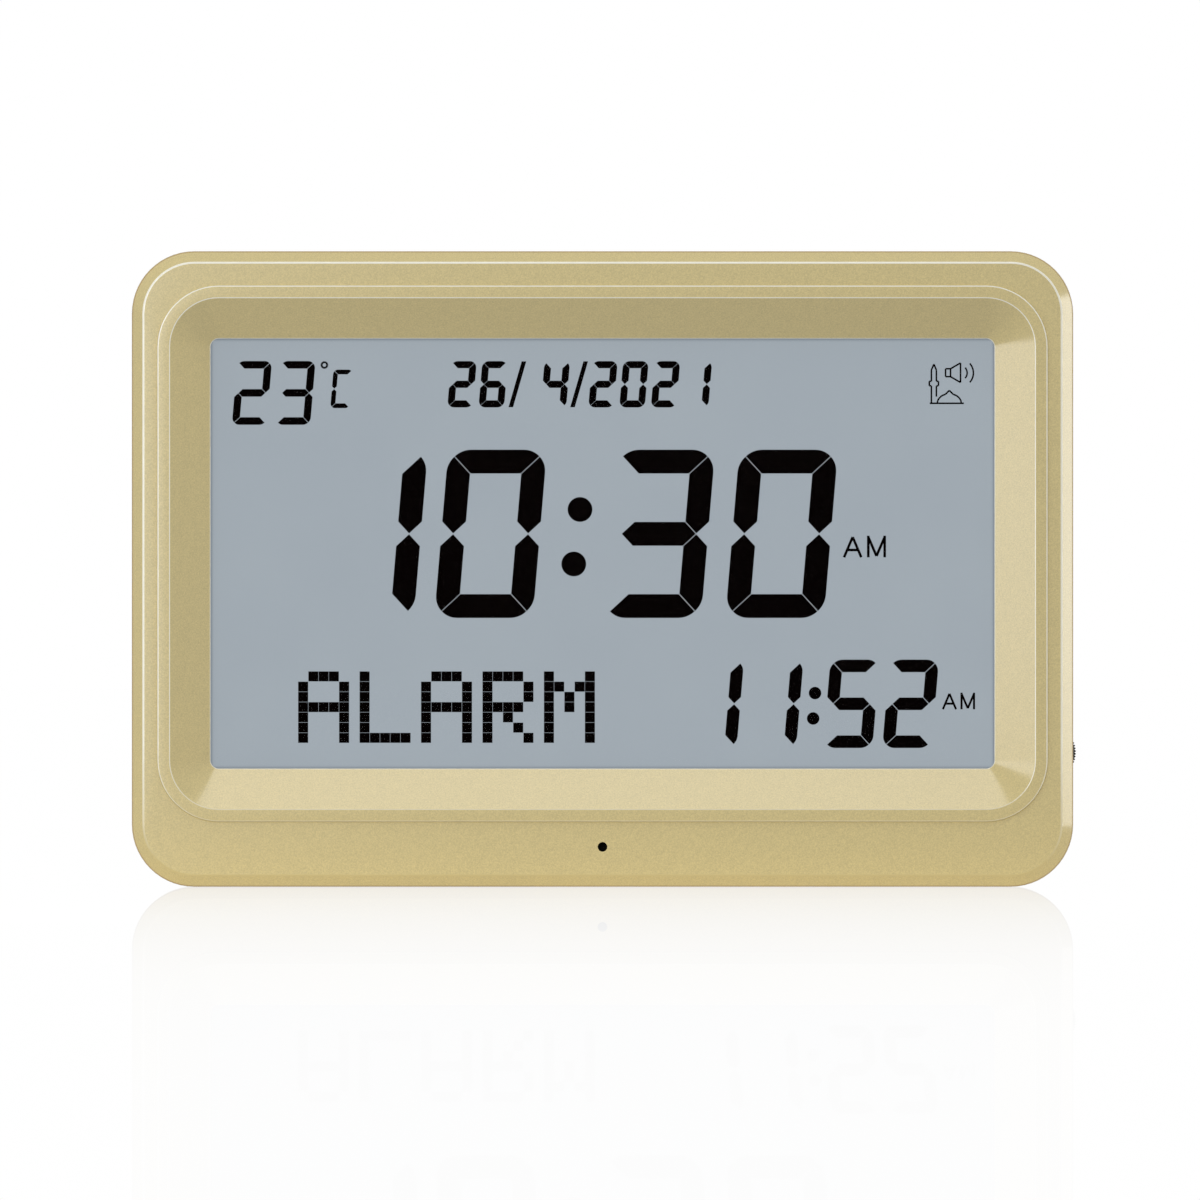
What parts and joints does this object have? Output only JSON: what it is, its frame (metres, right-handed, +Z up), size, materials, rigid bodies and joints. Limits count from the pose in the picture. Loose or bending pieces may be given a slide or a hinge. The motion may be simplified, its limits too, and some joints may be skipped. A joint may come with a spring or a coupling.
{
  "type": "azan clock",
  "caption": "Flat desk and wall clock with a wide liquid crystal display in a stepped gold case, side volume wheel, rear speaker, keys, battery box and fold-out stand.",
  "frame": {"origin": "on the standing surface, under the middle of the case, halfway through its depth", "axes": "+X to the right seen from the front, the front faces -Y, +Z up"},
  "size_m": [0.2268, 0.04, 0.1526],
  "materials": {
    "gold_case": "satin metallic gold coat on moulded plastic",
    "clear_lens": "polished clear acrylic",
    "lcd_glass": "thin display glass",
    "polariser": "grey film",
    "light_guide": "milky acrylic",
    "reflector": "white film",
    "elastomer": "soft silicone",
    "white_plastic": "moulded",
    "board": "green solder mask",
    "black_plastic": "moulded",
    "steel": "zinc plated",
    "basket_steel": "pressed and lacquered",
    "magnet": "ferrite",
    "cone_paper": "pressed paper pulp",
    "can": "drawn",
    "cell": "plain sleeve",
    "button_plastic": "moulded"
  },
  "bodies": {
    "root": {"front_bezel": "gold_case", "rear_cover": "gold_case", "window_lens": "clear_lens", "front_polariser": "polariser", "lcd_front_glass": "lcd_glass", "lcd_rear_glass": "lcd_glass", "rear_polariser": "polariser", "light_guide": "light_guide", "reflector_sheet": "reflector", "lamp_bar": "white_plastic", "lcd_frame": "white_plastic", "elastomer_strip_upper": "elastomer", "elastomer_strip_lower": "elastomer", "main_board": "board", "processor_chip": "black_plastic", "memory_chip": "black_plastic", "amplifier_chip": "black_plastic", "crystal_can": "can", "capacitors": "can", "light_sensor": "black_plastic", "volume_potentiometer": "white_plastic", "stand_pin": "steel", "battery_cell_lower": "cell", "battery_cell_middle": "cell", "battery_cell_upper": "cell", "battery_contacts": "steel", "battery_springs": "steel", "speaker_basket": "basket_steel", "speaker_magnet": "magnet", "speaker_cone": "cone_paper", "key_switches": "black_plastic", "key_board": "board", "case_screws": "steel", "board_screws": "steel", "key_board_screws": "steel", "power_inlet": "black_plastic", "inlet_pin": "steel"},
    "volume_wheel": {"volume_wheel": "black_plastic", "wheel_screw": "steel"},
    "stand_leg": {"stand_leg": "gold_case"},
    "battery_door": {"battery_door": "gold_case"},
    "button_mode": {"button_mode": "button_plastic"},
    "button_set": {"button_set": "button_plastic"},
    "button_up": {"button_up": "button_plastic"},
    "button_down": {"button_down": "button_plastic"},
    "button_alarm": {"button_alarm": "button_plastic"},
    "button_light": {"button_light": "button_plastic"}
  },
  "joints": [
    {"name": "volume_turn", "type": "hinge", "parent": "root", "child": "volume_wheel", "pos_m": [0.10725, 0.0018, 0.0322], "axis": [0, 1, 0], "range_deg": [-135, 135]},
    {"name": "stand_fold", "type": "hinge", "parent": "root", "child": "stand_leg", "pos_m": [0, 0.0182, 0.096], "axis": [1, 0, 0], "range_deg": [0, 40]},
    {"name": "door_hinge", "type": "hinge", "parent": "root", "child": "battery_door", "pos_m": [-0.058, 0.02, 0.01525], "axis": [-1, 0, 0], "range_deg": [0, 80]},
    {"name": "press_mode", "type": "slide", "parent": "root", "child": "button_mode", "axis": [0, -1, 0], "range_m": [0, 0.001], "stiffness_N_per_m": 1500, "springref_m": -0.0004},
    {"name": "press_set", "type": "slide", "parent": "root", "child": "button_set", "axis": [0, -1, 0], "range_m": [0, 0.001], "stiffness_N_per_m": 1500, "springref_m": -0.0004},
    {"name": "press_up", "type": "slide", "parent": "root", "child": "button_up", "axis": [0, -1, 0], "range_m": [0, 0.001], "stiffness_N_per_m": 1500, "springref_m": -0.0004},
    {"name": "press_down", "type": "slide", "parent": "root", "child": "button_down", "axis": [0, -1, 0], "range_m": [0, 0.001], "stiffness_N_per_m": 1500, "springref_m": -0.0004},
    {"name": "press_alarm", "type": "slide", "parent": "root", "child": "button_alarm", "axis": [0, -1, 0], "range_m": [0, 0.001], "stiffness_N_per_m": 1500, "springref_m": -0.0004},
    {"name": "press_light", "type": "slide", "parent": "root", "child": "button_light", "axis": [0, -1, 0], "range_m": [0, 0.001], "stiffness_N_per_m": 1500, "springref_m": -0.0004}
  ]
}
